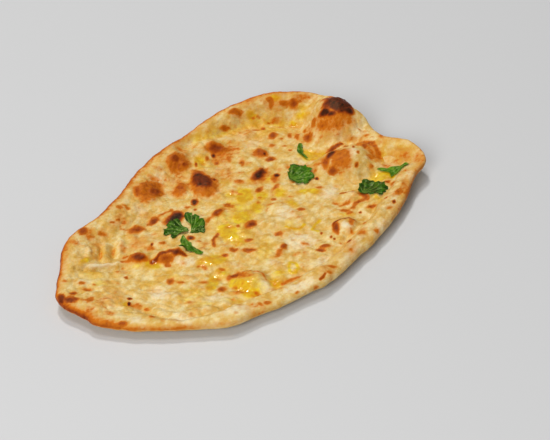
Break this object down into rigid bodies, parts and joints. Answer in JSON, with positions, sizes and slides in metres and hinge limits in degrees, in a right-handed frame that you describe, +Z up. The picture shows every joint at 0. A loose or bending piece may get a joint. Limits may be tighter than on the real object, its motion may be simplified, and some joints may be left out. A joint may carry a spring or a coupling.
{
  "type": "naan bread",
  "caption": "Leaf-shaped baked flatbread with a curled rim, raised charred bubbles and a flat underside, garnished with torn coriander leaves.",
  "frame": {"origin": "centre of the footprint's bounding rectangle, on the surface that the bread rests on", "axes": "+X along the bread's length, towards the end with the charred bubble; +Y across its width, towards the high rim; +Z up"},
  "size_m": [0.2884, 0.1872, 0.0294],
  "materials": {
    "baked_dough": "baked wheat dough, scorched brown on its bubbles and brushed with melted butter; satin where dry and glossy where buttered",
    "coriander_leaf": "fresh green herb leaf, damp with butter, semi-gloss"
  },
  "bodies": {
    "root": {"naan_bread": "baked_dough", "coriander_leaf_front": "coriander_leaf", "coriander_blade_front": "coriander_leaf", "coriander_sprig_small": "coriander_leaf", "coriander_leaf_middle": "coriander_leaf", "coriander_stalk_rear": "coriander_leaf", "coriander_leaf_rear": "coriander_leaf"}
  },
  "joints": []
}
